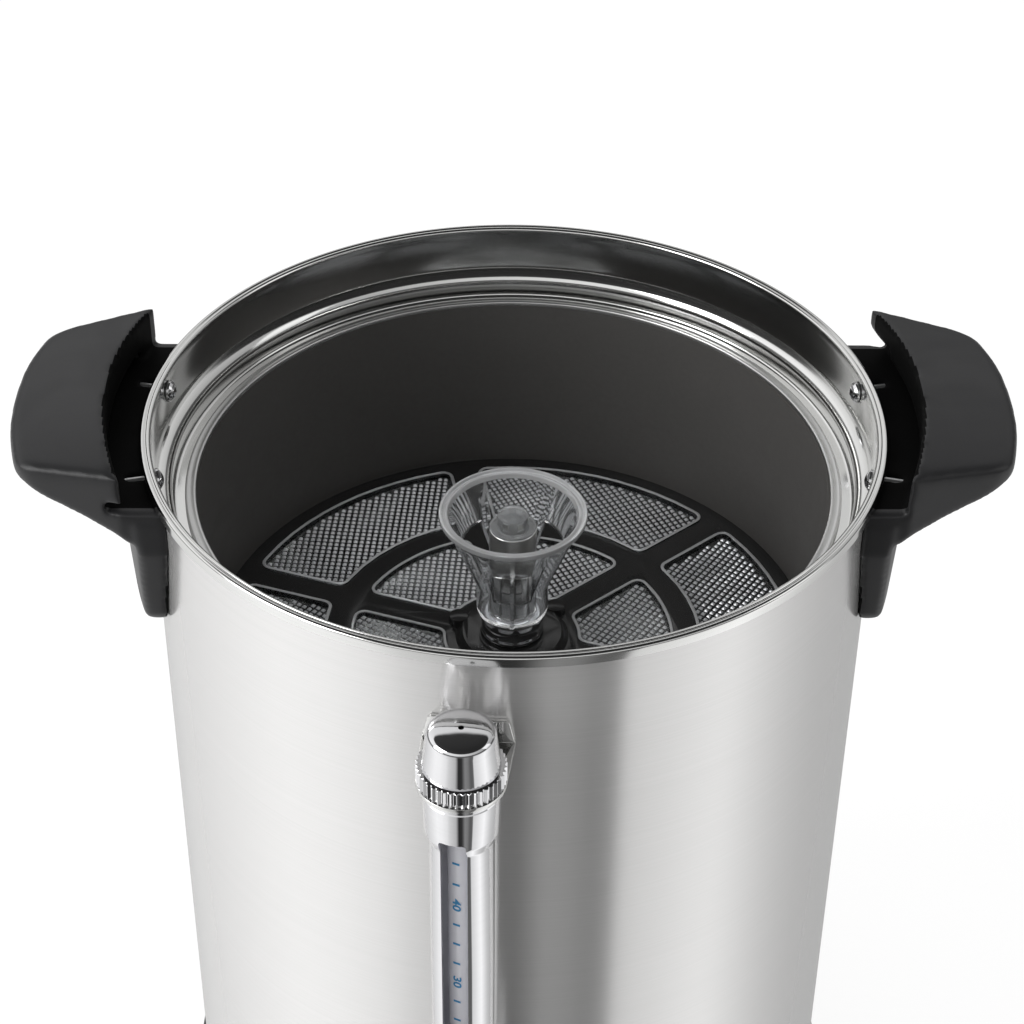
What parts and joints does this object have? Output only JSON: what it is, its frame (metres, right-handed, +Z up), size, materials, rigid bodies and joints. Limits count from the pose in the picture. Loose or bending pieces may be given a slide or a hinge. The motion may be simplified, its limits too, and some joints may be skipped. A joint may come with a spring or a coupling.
{
  "type": "hot water urn",
  "caption": "Insulated steel hot water urn with a lift-out filter basket on a percolator tube, side handles, a level gauge and a lever tap.",
  "frame": {"origin": "centre of the base on the table, under the urn's axis", "axes": "+Z up along the urn's axis, handles along +X and -X, tap and gauge towards -Y"},
  "size_m": [0.335, 0.323, 0.3623],
  "materials": {
    "shell_steel": "fine horizontal brushing",
    "tank_steel": "bright collar over a satin tank",
    "dark_coating": "matte dark coating on sheet",
    "satin_rim": "satin",
    "black_nylon": "satin black",
    "clear_screen": "clear moulding with a fine grid",
    "clear_funnel": "clear and glossy",
    "chrome_plate": "polished",
    "tube_steel": "bright drawn tube",
    "handle_plastic": "fine texture, dark grey",
    "zinc_steel": "zinc plated",
    "gauge_glass": "clear with a printed scale",
    "white_silicone": "matte white",
    "black_rubber": "matte",
    "base_plastic": "satin black",
    "lever_plastic": "gloss black",
    "heater_metal": "heat-stained sheath",
    "cast_plate": "as cast",
    "ceramic": "matte",
    "wire_cover": "satin",
    "rocker_red": "gloss red",
    "amber_lens": "translucent",
    "green_lens": "translucent",
    "brass_pins": "nickel plated"
  },
  "bodies": {
    "urn": {"outer_shell": "shell_steel", "tank_collar": "tank_steel", "tank_ledge": "tank_steel", "tank_wall": "tank_steel", "tank_bottom": "tank_steel", "left_handle": "handle_plastic", "right_handle": "handle_plastic", "handle_studs": "zinc_steel", "stud_washers": "zinc_steel", "cap_nuts": "chrome_plate", "gauge_bracket": "zinc_steel", "gauge_guard": "chrome_plate", "gauge_glass": "gauge_glass", "gauge_bottom_seal": "white_silicone", "tap_body": "chrome_plate", "tap_gasket": "black_rubber", "tap_spacer": "white_silicone", "tank_seal": "white_silicone", "tap_nut": "zinc_steel", "tap_bonnet": "chrome_plate", "tap_spring": "zinc_steel", "base_skirt": "base_plastic", "base_plate": "zinc_steel", "feet": "black_rubber", "foot_screws": "zinc_steel", "tie_rod": "zinc_steel", "tie_nut": "zinc_steel", "heater_plate": "cast_plate", "boil_heater": "heater_metal", "warm_heater": "heater_metal", "thermostat": "ceramic", "thermal_cutout": "ceramic", "wiring_loom": "wire_cover", "switch_body": "base_plastic", "power_lamp": "amber_lens", "ready_lamp": "green_lens", "inlet_socket": "base_plastic", "inlet_pins": "brass_pins", "inlet_screws": "zinc_steel"},
    "percolator": {"percolator_tube": "tube_steel", "pump_bell": "tube_steel"},
    "valve_disc": {"pump_valve": "black_rubber"},
    "basket": {"basket_wall": "dark_coating", "floor_ring": "dark_coating", "basket_rim": "satin_rim", "basket_frame": "black_nylon", "outer_screens": "clear_screen", "inner_screens": "clear_screen", "hub_bush": "chrome_plate"},
    "funnel": {"funnel_cap": "clear_funnel"},
    "cap_seal": {"gauge_top_seal": "white_silicone"},
    "cap": {"gauge_cap": "chrome_plate"},
    "valve": {"tap_stem": "zinc_steel", "tap_seat_cup": "white_silicone", "tap_pin": "zinc_steel"},
    "lever": {"tap_lever": "lever_plastic"},
    "rocker": {"switch_rocker": "rocker_red"}
  },
  "joints": [
    {"name": "percolator_lift", "type": "slide", "parent": "urn", "child": "percolator", "axis": [0, 0, 1], "range_m": [0, 0.3]},
    {"name": "pump_disc_lift", "type": "slide", "parent": "percolator", "child": "valve_disc", "axis": [0, 0, 1], "range_m": [0, 0.002]},
    {"name": "basket_lift", "type": "slide", "parent": "percolator", "child": "basket", "axis": [0, 0, 1], "range_m": [0, 0.1]},
    {"name": "funnel_lift", "type": "slide", "parent": "basket", "child": "funnel", "axis": [0, 0, 1], "range_m": [0, 0.06]},
    {"name": "gauge_cap_rise", "type": "slide", "parent": "urn", "child": "cap_seal", "axis": [0, 0, 1], "range_m": [0, 0.0046]},
    {"name": "gauge_cap_turn", "type": "hinge", "parent": "cap_seal", "child": "cap", "pos_m": [-0.01667, -0.13981, 0.33], "axis": [0, 0, 1], "range_deg": [0, 1080]},
    {"name": "tap_stem_lift", "type": "slide", "parent": "urn", "child": "valve", "axis": [0, 0, 1], "range_m": [0, 0.00398], "stiffness_N_per_m": 2000, "springref_m": -0.004, "deforming": ["tap_spring"]},
    {"name": "tap_lever_turn", "type": "hinge", "parent": "valve", "child": "lever", "pos_m": [-0.0206, -0.17278, 0.151], "axis": [0.993, -0.1184, 0], "range_deg": [0, 60]},
    {"name": "switch_rocking", "type": "hinge", "parent": "urn", "child": "rocker", "pos_m": [-0.01514, -0.12693, 0.02337], "axis": [0.993, -0.1184, 0], "range_deg": [0, 20]}
  ],
  "couplings": [
    {"joint": "gauge_cap_rise", "follows": "gauge_cap_turn", "m_per_rad": 0.00023873},
    {"joint": "tap_lever_turn", "follows": "tap_stem_lift", "rad_per_m": 263.16}
  ]
}
